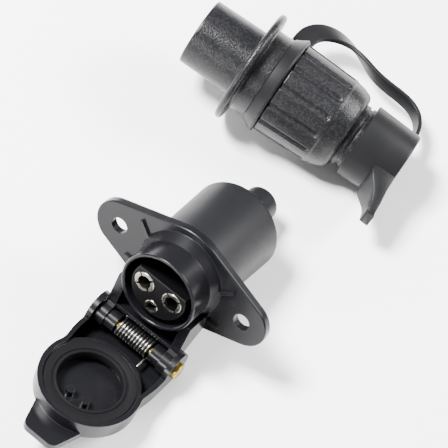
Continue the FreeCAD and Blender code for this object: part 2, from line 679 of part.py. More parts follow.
def contact_pin(x, y, radius):
    """Split pin with a wider shank in the carrier and a screw terminal."""
    shank_r = radius + 0.6
    end = CAVITY_DEPTH + PLUG_INSERT_LENGTH + PIN_TAIL_LENGTH
    tip = cylinder(radius, PLUG_PIN_TIP_Z, CAVITY_DEPTH + EPS)
    tip = round_circle(tip, radius, PLUG_PIN_TIP_Z, radius * 0.6)
    body = fuse([tip, cylinder(shank_r, CAVITY_DEPTH, end)])
    screw_z = end - PIN_TAIL_LENGTH / 2
    half, slit_end = SLEEVE_SLIT / 2, CAVITY_DEPTH - 2
    tools = [box(-radius - 1, radius + 1, -half, half, PLUG_PIN_TIP_Z - 1, slit_end)]
    tools.append(cylinder(shank_r * 0.55, end - PIN_TAIL_LENGTH, end + 1))
    tools.append(Part.makeCylinder(plug_screw_r(radius) + FIT, shank_r + 1, vec(0, 0, screw_z), Y_AXIS))
    body = cut(body, tools)
    body.translate(vec(x, y, 0))
    return body


def plug_screw_r(pin_radius):
    return min(SCREW_R, pin_radius * 0.75)


def plug_terminal_screws():
    z = CAVITY_DEPTH + PLUG_INSERT_LENGTH + PIN_TAIL_LENGTH / 2
    screws = []
    for _, x, y, _, radius, _ in contact_places():
        size = plug_screw_r(radius)
        foot = (radius + 0.6) * 0.55
        screw = Part.makeCylinder(size, SCREW_LENGTH - 0.8, vec(-x, y + foot, z), Y_AXIS)
        slot_y = y + foot + SCREW_LENGTH - 0.8 - SCREW_SLOT_DEPTH
        low, high = z - SCREW_SLOT_W / 2, z + SCREW_SLOT_W / 2
        slot = box(-x - size - 1, -x + size + 1, slot_y, slot_y + 2, low, high)
        screws.append(cut(screw, [slot]))
    return Part.makeCompound(screws)


def strap_ring():
    """Rubber ring round the spigot that carries the cap's strap."""
    z0 = RING_Z
    z1 = z0 + RING_LENGTH
    inner = SPIGOT_R + BODY_GAP
    profile = [(inner, z0), (RING_FRONT_R - 0.6, z0), (RING_FRONT_R, z0 + 0.6)]
    profile += [(RING_LIP_R, z1 - RING_LIP_T), (RING_LIP_R, z1), (inner, z1)]
    return revolve(profile)


def strap_path():
    """Corners of the strap's middle line as (z, distance from the axis)."""
    ring_z = RING_Z + RING_LENGTH / 2
    cap_z = CAP_END_Z - CAP_EDGE_ROUND - STRAP_T / 2
    span = cap_z - ring_z
    return [
        (ring_z, RING_FRONT_R - 1.5),
        (ring_z - 1.8, STRAP_REACH),
        (ring_z + 0.33 * span, STRAP_REACH),
        (ring_z + 0.55 * span, STRAP_REACH - STRAP_DIP),
        (ring_z + 0.87 * span, STRAP_REACH - STRAP_DIP),
        (cap_z, CAP_END_R - 2.2),
    ]


def cap_strap():
    """Flat strap from the ring to the cap, bowed out on the side away from the tab."""
    corners = strap_path()
    half = STRAP_T / 2
    points = [vec(0, -r, z) for z, r in corners]
    ring_z = points[0].z
    path = rounded_path(points)
    start = points[0]
    across = (points[1] - start).normalize().cross(X_AXIS) * half
    side = vec(STRAP_W / 2, 0, 0)
    loop = [start - side - across, start + side - across, start + side + across, start - side + across]
    section = Part.makePolygon(loop + [loop[0]])
    band = path.makePipeShell([section], True, False)
    clear_r = RING_LIP_R + EPS
    low, high = ring_z - STRAP_W, ring_z + STRAP_W
    clear_ring = revolve([(0, low), (clear_r, low), (clear_r, high), (0, high)])
    clear_cap = cone(CAP_MOUTH_R, CAP_END_R, CAP_Z, CAP_END_Z + 1)
    return band.cut(clear_ring).cut(clear_cap)


def rounded_path(points):
    """Straight runs with tangent arcs at the corners."""
    edges = []
    cursor = points[0]
    for k in range(1, len(points) - 1):
        before = points[k] - points[k - 1]
        after = points[k + 1] - points[k]
        turn = before.getAngle(after)
        shorter = min(before.Length, after.Length)
        trim = 0.45 * shorter
        radius = trim / math.tan(turn / 2)
        print("strap bend", k, "radius", round(radius, 1), "turn", round(math.degrees(turn)))
        a = points[k] - before.normalize() * trim
        b = points[k] + after.normalize() * trim
        inward = (a + b) * 0.5 - points[k]
        centre_distance = radius / math.cos(turn / 2)
        middle = points[k] + inward.normalize() * (centre_distance - radius)
        if cursor.distanceToPoint(a) > EPS:
            edges.append(Part.makeLine(cursor, a))
        edges.append(Part.Arc(a, middle, b).toShape())
        cursor = b
    edges.append(Part.makeLine(cursor, points[-1]))
    return Part.Wire(edges)


def plug_cap():
    """Soft cap pushed over the gland, with a finger tab on one side."""
    z0 = CAP_Z
    z1 = CAP_END_Z
    outer = cone(CAP_MOUTH_R, CAP_END_R, z0, z1)
    outer = round_circle(outer, CAP_END_R, z1, CAP_EDGE_ROUND)
    root_y = CAP_END_R - 3.0
    tip_y = CAP_TAB_REACH
    root = tab_section(root_y, CAP_TAB_ROOT_W, CAP_TAB_ROOT_T, z1)
    tip = tab_section(tip_y, CAP_TAB_TIP_W, CAP_TAB_TIP_T, z1)
    tab = Part.makeLoft([root, tip], True, True)
    body = fuse([outer, tab])
    hollow = cylinder(NECK_R + BODY_GAP, z0 - 1, z1 - CAP_WALL)
    return cut(body, [hollow])


def tab_section(y, width, thickness, z1):
    half = width / 2
    z0 = z1 - thickness
    corners = [vec(-half, y, z0), vec(half, y, z0), vec(half, y, z1), vec(-half, y, z1), vec(-half, y, z0)]
    return Part.makePolygon(corners)


def plug_grip_shell():
    """Screw-on shell: wide lands with narrow round-ended grooves between."""
    z0 = GRIP_Z
    land_end = z0 + GRIP_LAND_LENGTH
    z1 = GRIP_END_Z
    lands = cone(GRIP_START_R, GRIP_LAND_END_R, z0, land_end)
    tail = cone(GRIP_LAND_END_R - GRIP_STEP, GRIP_REAR_R, land_end - EPS, z1)
    tail = round_circle(tail, GRIP_REAR_R, z1, GRIP_REAR_ROUND)
    body = fuse([lands, tail])
    shoulder = [e for e in circle_edges(body, GRIP_LAND_END_R, land_end)]
    body = body.makeFillet(GRIP_STEP * 0.7, shoulder)
    cutters = []
    groove_end = land_end - GROOVE_R * 2
    for k in range(GRIP_GROOVES):
        r0 = GRIP_START_R + GROOVE_R - GROOVE_DEPTH
        r1 = GRIP_LAND_END_R + GROOVE_R - GROOVE_DEPTH
        start = vec(0, r0, z0 - 1)
        run = vec(0, r1 - r0, groove_end - z0 + 1)
        groove = Part.makeCylinder(GROOVE_R, run.Length, start, run)
        ball = Part.makeSphere(GROOVE_R, start + run)
        cutter = groove.fuse(ball)
        cutter.rotate(ORIGIN, Z_AXIS, 360.0 * (k + 0.5) / GRIP_GROOVES)
        cutters.append(cutter)
    body = body.cut(Part.makeCompound(cutters))
    tools = [cylinder(GRIP_BORE_R, z0 - 1, SPIGOT_END_Z + 1)]
    tools.append(cylinder(GRIP_REAR_R - GRIP_WALL, SPIGOT_END_Z, z1 - GRIP_BACK_T))
    tools.append(cylinder(NUT_SHANK_R + FIT, z1 - GRIP_BACK_T - 1, z1 + 1))
    return body.cut(Part.makeCompound(tools))


def shell_o_ring():
    """Seal in the corner between the spigot and the shell."""
    z = GRIP_Z + O_RING_WIRE_R + 0.4
    return Part.makeTorus(SPIGOT_R - O_RING_WIRE_R, O_RING_WIRE_R, vec(0, 0, z), Z_AXIS)


def o_ring_groove():
    z = GRIP_Z + O_RING_WIRE_R + 0.4
    half = O_RING_WIRE_R + FIT
    inner = SPIGOT_R - O_RING_WIRE_R * 2 - FIT
    outer = SPIGOT_R + 1
    return revolve([(inner, z - half), (outer, z - half), (outer, z + half), (inner, z + half)])


def gland_nut():
    """Gland screwed into the shell: neck ring in front, grip facets under the cap."""
    z0 = GRIP_END_Z - GRIP_BACK_T
    neck_z0 = GRIP_END_Z + FIT
    neck_z1 = neck_z0 + NECK_LENGTH
    end = neck_z1 + NUT_TAIL_LENGTH
    shank = cylinder(NUT_SHANK_R, z0, neck_z0 + EPS)
    neck = cylinder(NECK_R, neck_z0, neck_z1)
    tail = cone(NUT_TAIL_R, NUT_TAIL_R - 1.0, neck_z1 - EPS, end)
    body = fuse([shank, neck, tail])
    groove_z = neck_z0 + NECK_LENGTH * 0.35
    ring = cylinder(NECK_R + 1, groove_z, groove_z + NECK_GROOVE_W)
    ring = ring.cut(cylinder(NECK_R - NECK_GROOVE_DEPTH, groove_z - 1, groove_z + NECK_GROOVE_W + 1))
    bore = cylinder(NUT_BORE_R, z0 - 1, end - 2.0)
    way_out = cylinder(CABLE_BORE_R + 1.0, end - 3.0, end + 1)
    return cut(body, [ring, bore, way_out])


def gland_bush():
    """Rubber bush squeezed round the cable."""
    z1 = GRIP_END_Z + FIT + NECK_LENGTH + NUT_TAIL_LENGTH - 2.0 - GLAND_WASHER_T - FIT
    body = cylinder(NUT_BORE_R - FIT, z1 - BUSH_LENGTH, z1 - FIT)
    return body.cut(cylinder(CABLE_BORE_R, z1 - BUSH_LENGTH - 1, z1 + 1))


def gland_washer():
    """Thrust washer between the bush and the nut's end."""
    z1 = GRIP_END_Z + FIT + NECK_LENGTH + NUT_TAIL_LENGTH - 2.0 - FIT
    body = cylinder(NUT_BORE_R - FIT, z1 - GLAND_WASHER_T, z1)
    return body.cut(cylinder(CABLE_BORE_R + 0.5, z1 - GLAND_WASHER_T - 1, z1 + 1))


# ---------------------------------------------------------------- placement
def socket_tilt():
    """Nose-up angle at which the boot's rear rim and the lid's back edge touch down."""
    lid_turn = math.radians(LID_OPEN - 90)
    corner_y = LID_FACE_Y + LID_EDGE_ROUND
    corner_z = LID_BOX_BACK_Z + LID_EDGE_ROUND
    lid_y = HINGE_Y + corner_y * math.cos(lid_turn) - corner_z * math.sin(lid_turn)
    lid_z = HINGE_Z + corner_y * math.sin(lid_turn) + corner_z * math.cos(lid_turn)
    boot_y = -(BOOT_REAR_R - BOOT_REAR_ROUND)
    boot_z = BOOT_REAR_Z + BOOT_REAR_ROUND
    dz = lid_z - boot_z
    dy = boot_y - lid_y
    rise = LID_EDGE_ROUND - BOOT_REAR_ROUND
    return math.degrees(math.atan2(dy, dz) + math.asin(rise / math.hypot(dz, dy)))


def socket_placement():
    lean = 90 - socket_tilt()
    return FreeCAD.Placement(ORIGIN, FreeCAD.Rotation(X_AXIS, lean))


def lid_placement():
    open_turn = FreeCAD.Placement(vec(0, HINGE_Y, HINGE_Z), FreeCAD.Rotation(X_AXIS, LID_OPEN - 90))
    return socket_placement().multiply(open_turn)


def plug_nose_up():
    """Nose-up angle at which the disc and the cap's closed end both touch down."""
    drop = DISC_R - CAP_END_R
    run = CAP_END_Z - DISC_Z - DISC_T
    return math.degrees(math.atan2(drop, run))


def plug_placement():
    lay = FreeCAD.Rotation(vec(0, 0, 1), vec(0, -1, 0), vec(1, 0, 0), "ZXY")
    roll = FreeCAD.Rotation(Z_AXIS, PLUG_ROLL)
    pitch = FreeCAD.Rotation(Y_AXIS, plug_nose_up())
    yaw = FreeCAD.Rotation(Z_AXIS, PLUG_YAW)
    turn = yaw.multiply(pitch).multiply(lay).multiply(roll)
    place = FreeCAD.Placement(ORIGIN, turn)
    disc_centre = place.multVec(vec(0, 0, DISC_MID_Z))
    place.Base = vec(PLUG_X, PLUG_Y, 0) - disc_centre
    return place


def socket_nodes():
    nodes = {
        "socket_housing": socket_housing(),
        "contact_insert": contact_insert(),
        "socket_terminal_screws": socket_terminal_screws(),
        "rear_boot": rear_boot(),
    }
    names = {
        "power_left": "power_sleeve_left",
        "power_right": "power_sleeve_right",
        "signal": "signal_sleeve",
    }
    for name, x, y, radius, pin_radius, slits in contact_places():
        nodes[names[name]] = contact_sleeve(x, y, radius, pin_radius, slits)
    at_hinge = {"hinge_pin": hinge_pin(), "hinge_pin_clip": hinge_pin_clip()}
    for name, shape in at_hinge.items():
        shape.translate(vec(0, HINGE_Y, HINGE_Z))
        nodes[name] = shape
    return nodes


def lid_nodes():
    return {"lid": lid(), "lid_seal": lid_seal(), "torsion_spring": torsion_spring()}


def plug_nodes():
    housing = plug_front_housing().cut(o_ring_groove())
    nodes = {
        "plug_front_housing": housing,
        "plug_insert": plug_insert(),
        "plug_terminal_screws": plug_terminal_screws(),
        "plug_grip_shell": plug_grip_shell(),
        "shell_o_ring": shell_o_ring(),
        "gland_nut": gland_nut(),
        "gland_bush": gland_bush(),
        "gland_washer": gland_washer(),
        "strap_ring": strap_ring(),
        "cap_strap": cap_strap(),
        "plug_cap": plug_cap(),
    }
    names = {"power_left": "power_pin_left", "power_right": "power_pin_right", "signal": "signal_pin"}
    for name, x, y, _, radius, _ in contact_places():
        nodes[names[name]] = contact_pin(-x, y, radius)
    return nodes


def lowest(shapes):
    return min(shape.optimalBoundingBox(True, False).ZMin for shape in shapes)


def stand_on_floor(groups):
    """Drop the socket and the plug to Z = 0, then centre the set on the origin."""
    placed = {}
    for members in groups:
        low = lowest(members.values())
        for name, shape in members.items():
            shape.translate(vec(0, 0, -low))
            placed[name] = shape
    boxes = [shape.optimalBoundingBox(True, False) for shape in placed.values()]
    mid_x = (min(b.XMin for b in boxes) + max(b.XMax for b in boxes)) / 2
    mid_y = (min(b.YMin for b in boxes) + max(b.YMax for b in boxes)) / 2
    for shape in placed.values():
        shape.translate(vec(-mid_x, -mid_y, 0))
    return placed, vec(-mid_x, -mid_y, 0)


def place_nodes(nodes, placement):
    placed = {}
    for name, shape in nodes.items():
        placed[name] = shape.copy()
        placed[name].Placement = placement.multiply(placed[name].Placement)
    return placed


def report_frame(label, placement, lift, shift):
    """Print where a local frame's origin and axes end up, in millimetres."""
    base = placement.Base + vec(0, 0, lift) + shift
    turn = placement.Rotation
    axes = [turn.multVec(axis) for axis in (X_AXIS, Y_AXIS, Z_AXIS)]
    print(label, [round(c, 4) for c in base], [[round(c, 6) for c in axis] for axis in axes])


def main():
    os.makedirs("parts", exist_ok=True)
    socket = place_nodes(socket_nodes(), socket_placement())
    socket.update(place_nodes(lid_nodes(), lid_placement()))
    plug = place_nodes(plug_nodes(), plug_placement())
    socket_low = lowest(socket.values())
    plug_low = lowest(plug.values())
    placed, shift = stand_on_floor([socket, plug])
    for name, shape in sorted(placed.items()):
        shape.exportStep("parts/" + name + ".step")
    report_frame("socket frame", socket_placement(), -socket_low, shift)
    report_frame("lid frame", lid_placement(), -socket_low, shift)
    report_frame("plug frame", plug_placement(), -plug_low, shift)


main()
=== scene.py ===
# %% [markdown]
# # A three-pole trailer wiring connector
# The set has two halves. The **socket** is screwed to a truck by its flange and has a
# sprung lid and a rubber boot. The **plug** has a fluted grip, a cable gland and a rubber
# cap on a strap. The engineering model is loaded first, as a frame that is never moved.
# Most hard mouldings in it keep their shape and get a finish. The rubber pieces that show
# at rest, the coiled spring and the grip shell are modelled again here, because they are
# the ones that look hand-made when they are left plain.

# %% Load the frame
import json
import math

import bpy
from mathutils import Matrix, Vector


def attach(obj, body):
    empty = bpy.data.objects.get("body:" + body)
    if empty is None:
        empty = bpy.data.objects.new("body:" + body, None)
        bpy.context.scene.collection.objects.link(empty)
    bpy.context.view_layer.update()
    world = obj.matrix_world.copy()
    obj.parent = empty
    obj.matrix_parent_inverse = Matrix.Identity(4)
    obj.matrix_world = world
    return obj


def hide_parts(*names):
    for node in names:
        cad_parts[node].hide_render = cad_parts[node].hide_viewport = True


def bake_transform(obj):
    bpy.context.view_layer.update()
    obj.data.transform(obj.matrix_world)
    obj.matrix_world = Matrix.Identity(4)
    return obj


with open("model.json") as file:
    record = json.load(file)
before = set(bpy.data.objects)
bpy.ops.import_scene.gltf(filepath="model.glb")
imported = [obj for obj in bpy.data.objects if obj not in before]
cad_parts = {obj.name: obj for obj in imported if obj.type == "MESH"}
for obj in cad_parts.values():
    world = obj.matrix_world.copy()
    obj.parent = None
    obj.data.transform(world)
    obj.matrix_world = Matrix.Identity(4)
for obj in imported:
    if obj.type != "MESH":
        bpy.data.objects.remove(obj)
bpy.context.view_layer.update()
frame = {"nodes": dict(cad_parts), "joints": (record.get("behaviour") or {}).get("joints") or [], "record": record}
nodes = frame["nodes"]
joints = {joint["name"]: joint for joint in frame["joints"]}
mounts = {mount["name"]: mount for mount in frame["record"]["mounts"]}
bpy.ops.object.select_all(action="DESELECT")

# %% [markdown]
# ## Three sets of axes
# Each half lies at its own angle, so drawing a round piece straight into the scene would
# be hard. It is easier to model it upright at the origin and to turn it into place once
# it is finished. The axes come from the frame: the flange gives the socket's, the hinge
# gives the lid's, and the strap ring's axis and the cap's tab give the plug's.

# %% Local axes of the socket, the lid and the plug
MM = 0.001
RING_MIDDLE = 37.3 * MM      # the strap ring's pivot, behind the plug's front end


def axes(origin, y, z):
    """A matrix with the given Y and Z directions at a point."""
    y, z = Vector(y).normalized(), Vector(z).normalized()
    matrix = Matrix((y.cross(z), y, z)).transposed().to_4x4()
    matrix.translation = Vector(origin)
    return matrix


socket_z = Vector(mounts["flange_bolts"]["axis"])
hinge_axis = Vector(joints["lid_hinge"]["axis"])
socket_y = socket_z.cross(hinge_axis)
SOCKET = axes(mounts["flange_bolts"]["pos_m"], socket_y, socket_z)

opened = math.radians(-joints["lid_hinge"]["range_deg"][0])
lid_z = Matrix.Rotation(opened, 3, hinge_axis) @ socket_y
LID = axes(joints["lid_hinge"]["pos_m"], lid_z.cross(hinge_axis), lid_z)

plug_z = Vector(joints["strap_ring_swivel"]["axis"]).normalized()
plug_front = Vector(joints["strap_ring_swivel"]["pos_m"]) - plug_z * RING_MIDDLE
cap_points = [v.co - plug_front for v in nodes["plug_cap"].data.vertices]
cap_points = [p - plug_z * p.dot(plug_z) for p in cap_points]
tab_reach = max(p.length for p in cap_points)
tab_points = [p for p in cap_points if p.length > 0.98 * tab_reach]
PLUG = axes(plug_front, sum(tab_points, Vector()), plug_z)
print("socket at", SOCKET.translation, "lid at", LID.translation, "plug at", PLUG.translation)

# %% [markdown]
# ## Camera
# A long lens from high above keeps the flange and the lid nearly free of perspective. The
# camera looks at a point on the floor between the halves. A standard camera would keep
# the horizon level, so it is rolled about its own line of sight as a last step.

# %% Camera
CAMERA_AZIMUTH, CAMERA_ELEVATION, CAMERA_ROLL = 24.19, 62.01, 16.42
CAMERA_DISTANCE = 0.804
CAMERA_LENS = 160.7
looked_at = Vector((0.0054, 0.0137, 0.0))

azimuth, elevation = math.radians(CAMERA_AZIMUTH), math.radians(CAMERA_ELEVATION)
back = Vector((math.sin(azimuth) * math.cos(elevation), -math.cos(azimuth) * math.cos(elevation),
               math.sin(elevation)))
camera_data = bpy.data.cameras.new("camera")
camera_data.lens = CAMERA_LENS
camera_data.sensor_width = 36.0
camera_data.clip_start, camera_data.clip_end = 0.05, 20.0
camera = bpy.data.objects.new("camera", camera_data)
bpy.context.scene.collection.objects.link(camera)
level = (-back).to_track_quat("-Z", "Y").to_matrix()
rolled = level @ Matrix.Rotation(math.radians(CAMERA_ROLL), 3, "Z")
camera.matrix_world = Matrix.Translation(looked_at + back * CAMERA_DISTANCE) @ rolled.to_4x4()
bpy.context.scene.camera = camera
print("camera at", camera.location, "axes", camera.matrix_world.to_3x3())

# %% [markdown]
# ## Floor and light
# Small goods are often laid on a white sweep and lit with large soft
# boxes, so that black plastic shows broad, gentle highlights. The floor here is one plain
# pale sheet. Three area lights stand in for the boxes, and the world fills the shadows.

# %% Floor
FLOOR_SIZE = 8.0
bpy.ops.mesh.primitive_plane_add(size=FLOOR_SIZE, location=(0, 0, 0))
floor = bpy.context.object
floor.name = "floor"
floor_paint = bpy.data.materials.new("pale_floor")
floor_paint.use_nodes = True
floor_shader = floor_paint.node_tree.nodes["Principled BSDF"]
floor_shader.inputs["Base Color"].default_value = (0.93, 0.93, 0.93, 1)
floor_shader.inputs["Roughness"].default_value = 0.9
floor_shader.inputs["Specular IOR Level"].default_value = 0.1
floor.data.materials.append(floor_paint)

# %% Light


def soft_box(name, place, size, power, target=(0, 0, 0.02)):
    """A square area light at a place, turned towards a target."""
    data = bpy.data.lights.new(name, "AREA")
    data.shape = "RECTANGLE"
    data.size, data.size_y = size
    data.energy = power
    light = bpy.data.objects.new(name, data)
    light.location = place
    light.rotation_euler = (Vector(target) - Vector(place)).to_track_quat("-Z", "Y").to_euler()
    bpy.context.scene.collection.objects.link(light)
    return light


soft_box("key_box", (-0.6, -0.2, 1.2), (0.35, 0.35), 105)
soft_box("back_box", (0.75, 0.85, 0.9), (0.6, 0.4), 45)
soft_box("front_box", (-0.25, -0.95, 0.45), (0.4, 0.2), 12)
world = bpy.data.worlds.new("studio")
bpy.context.scene.world = world
world.use_nodes = True
world.node_tree.nodes["Background"].inputs["Color"].default_value = (1, 1, 1, 1)
world.node_tree.nodes["Background"].inputs["Strength"].default_value = 0.5

# %% [markdown]
# ## Shared effects
# Black parts look lifeless in one flat colour. What tells the eye that one is moulded
# plastic and the next is rubber is how the surface breaks up the light. Each effect is
# a node group with named inputs, and every material sets its own values.

# %% Node helpers


def add(tree, kind, **inputs):
    """A node with some of its inputs set by name."""
    node = tree.nodes.new(kind)
    for name, value in inputs.items():
        node.inputs[name.replace("_", " ")].default_value = value
    return node


def new_group(name, inputs, outputs):
    """An empty node group with named number or colour sockets."""
    group = bpy.data.node_groups.new(name, "ShaderNodeTree")
    for label, kind, value in inputs:
        socket = group.interface.new_socket(label, in_out="INPUT", socket_type=kind)
        if value is not None:
            socket.default_value = value
    for label, kind in outputs:
        group.interface.new_socket(label, in_out="OUTPUT", socket_type=kind)
    return group, group.nodes.new("NodeGroupInput"), group.nodes.new("NodeGroupOutput")


def math_node(tree, operation, a, b=None, clamp=False):
    """A Math node whose operands are sockets or numbers."""
    node = tree.nodes.new("ShaderNodeMath")
    node.operation = operation
    node.use_clamp = clamp
    for slot, value in zip(node.inputs, (a, b)):
        if isinstance(value, bpy.types.NodeSocket):
            tree.links.new(value, slot)
        elif value is not None:
            slot.default_value = value
    return node.outputs[0]


def remap(tree, value, low, high, to_low=0.0, to_high=1.0):
    """Stretches a value from one range to another, without going past its ends."""
    node = tree.nodes.new("ShaderNodeMapRange")
    node.inputs["From Min"].default_value = low
    node.inputs["From Max"].default_value = high
    node.inputs["To Min"].default_value = to_low
    node.inputs["To Max"].default_value = to_high
    tree.links.new(value, node.inputs["Value"])
    return node.outputs["Result"]


# %% Effect: spark-eroded grain, with painted glints in the colour
FLOAT = "NodeSocketFloat"
grain, grain_in, grain_out = new_group(
    "moulded_grain_and_painted_glint", [("Grain Size", FLOAT, 0.4), ("Clumping", FLOAT, 0.5)],
    [("Height", FLOAT), ("Painted Glint", FLOAT)])
coords = grain.nodes.new("ShaderNodeTexCoord").outputs["Object"]
per_metre = math_node(grain, "DIVIDE", 1000.0, grain_in.outputs["Grain Size"])
cells = add(grain, "ShaderNodeTexVoronoi", Randomness=1.0)
grain.links.new(coords, cells.inputs["Vector"])
grain.links.new(per_metre, cells.inputs["Scale"])
clumps = add(grain, "ShaderNodeTexNoise", Detail=2.0, Roughness=0.6)
grain.links.new(coords, clumps.inputs["Vector"])
grain.links.new(math_node(grain, "MULTIPLY", per_metre, 0.55), clumps.inputs["Scale"])
bumps = remap(grain, cells.outputs["Distance"], 0.1, 0.7, 1.0, 0.0)
uneven = math_node(grain, "MULTIPLY", clumps.outputs["Fac"], grain_in.outputs["Clumping"])
grain.links.new(math_node(grain, "ADD", bumps, uneven), grain_out.inputs["Height"])
# The brightest grain cells lighten the base colour: painted glints that stand in for the grain's sparkle in a
# highlight.
glint_cells = add(grain, "ShaderNodeSeparateColor")
grain.links.new(cells.outputs["Color"], glint_cells.inputs["Color"])
grain.links.new(remap(grain, glint_cells.outputs[0], 0.55, 1.0), grain_out.inputs["Painted Glint"])

# %% Effect: handling marks
smudge, smudge_in, smudge_out = new_group(
    "handling_marks", [("Patch Size", FLOAT, 12.0), ("Streaks", FLOAT, 0.3)],
    [("Marks", FLOAT), ("Dust", FLOAT)])
coords = smudge.nodes.new("ShaderNodeTexCoord").outputs["Object"]
per_metre = math_node(smudge, "DIVIDE", 1000.0, smudge_in.outputs["Patch Size"])
patches = add(smudge, "ShaderNodeTexNoise", Detail=4.0, Roughness=0.62, Distortion=0.6)
smudge.links.new(coords, patches.inputs["Vector"])
smudge.links.new(per_metre, patches.inputs["Scale"])
fine = add(smudge, "ShaderNodeTexNoise", Detail=3.0, Roughness=0.7)
smudge.links.new(coords, fine.inputs["Vector"])
smudge.links.new(math_node(smudge, "MULTIPLY", per_metre, 9.0), fine.inputs["Scale"])
fine_part = math_node(smudge, "MULTIPLY", fine.outputs["Fac"], smudge_in.outputs["Streaks"])
both = math_node(smudge, "ADD", remap(smudge, patches.outputs["Fac"], 0.3, 0.7), fine_part)
smudge.links.new(both, smudge_out.inputs["Marks"])
smudge.links.new(remap(smudge, fine.outputs["Fac"], 0.62, 0.8), smudge_out.inputs["Dust"])

# %% Effect: worn edges
wear, wear_in, wear_out = new_group(
    "worn_edges", [("Width", FLOAT, 0.4), ("Break Up", FLOAT, 0.5)], [("Edge", FLOAT)])
rounded = wear.nodes.new("ShaderNodeBevel")
rounded.samples = 4
wear.links.new(math_node(wear, "MULTIPLY", wear_in.outputs["Width"], MM), rounded.inputs["Radius"])
flat = wear.nodes.new("ShaderNodeNewGeometry")
alike = wear.nodes.new("ShaderNodeVectorMath")
alike.operation = "DOT_PRODUCT"
wear.links.new(rounded.outputs["Normal"], alike.inputs[0])
wear.links.new(flat.outputs["Normal"], alike.inputs[1])
sharp = remap(wear, alike.outputs["Value"], 0.995, 0.88)
speck = add(wear, "ShaderNodeTexNoise", Scale=700.0, Detail=3.0, Roughness=0.6)
wear.links.new(wear.nodes.new("ShaderNodeTexCoord").outputs["Object"], speck.inputs["Vector"])
speckled = remap(wear, speck.outputs["Fac"], 0.4, 0.6)
broken = math_node(wear, "MULTIPLY", speckled, wear_in.outputs["Break Up"])
wear.links.new(math_node(wear, "SUBTRACT", sharp, broken, clamp=True), wear_out.inputs["Edge"])

# %% Material builder


def finish_material(name, colour, wear_dust_and_glint_colour, roughness, metallic=0.0,
                    grain_size=0.4, grain_depth=0.02, painted_glint_strength=0.0, patch=12.0, marks=0.12,
                    edge_width=0.4, edge_gain=0.5, edge_rough=-0.1, soften=0.0, ior=1.5):
    """A finish made of a grain with painted glints, handling marks and worn edges in front of one shader."""
    material = bpy.data.materials.new(name)
    material.use_nodes = True
    tree = material.node_tree
    shader = tree.nodes["Principled BSDF"]
    shader.inputs["Metallic"].default_value = metallic
    shader.inputs["IOR"].default_value = ior
    effects = {}
    for label, group in (("grain", grain), ("smudge", smudge), ("wear", wear)):
        effects[label] = tree.nodes.new("ShaderNodeGroup")
        effects[label].node_tree = group
    effects["grain"].inputs["Grain Size"].default_value = grain_size
    effects["smudge"].inputs["Patch Size"].default_value = patch
    effects["wear"].inputs["Width"].default_value = edge_width
    edge = math_node(tree, "MULTIPLY", effects["wear"].outputs["Edge"], edge_gain)
    mix = tree.nodes.new("ShaderNodeMix")
    mix.data_type = "RGBA"
    mix.inputs["A"].default_value = (*colour, 1)
    mix.inputs["B"].default_value = (*wear_dust_and_glint_colour, 1)
    dusty = math_node(tree, "MULTIPLY", effects["smudge"].outputs["Dust"], marks)
    # Painted glints: the bright grain cells pull the colour towards the lighter one.
    painted_glints = math_node(tree, "MULTIPLY", effects["grain"].outputs["Painted Glint"], painted_glint_strength)
    wear_dust_and_glint = math_node(tree, "ADD", math_node(tree, "MAXIMUM", edge, dusty), painted_glints, clamp=True)
    tree.links.new(wear_dust_and_glint, mix.inputs["Factor"])
    tree.links.new(mix.outputs["Result"], shader.inputs["Base Color"])
    marked = math_node(tree, "MULTIPLY", effects["smudge"].outputs["Marks"], marks)
    rough = math_node(tree, "ADD", marked, roughness - marks / 2)
    rough = math_node(tree, "ADD", rough, math_node(tree, "MULTIPLY", edge, edge_rough), clamp=True)
    tree.links.new(rough, shader.inputs["Roughness"])
    bump = add(tree, "ShaderNodeBump", Strength=1.0, Distance=grain_depth * MM)
    tree.links.new(effects["grain"].outputs["Height"], bump.inputs["Height"])
    if soften:
        soft = add(tree, "ShaderNodeBevel", Radius=soften * MM)
        soft.samples = 6
        tree.links.new(soft.outputs["Normal"], bump.inputs["Normal"])
    tree.links.new(bump.outputs["Normal"], shader.inputs["Normal"])
    return material


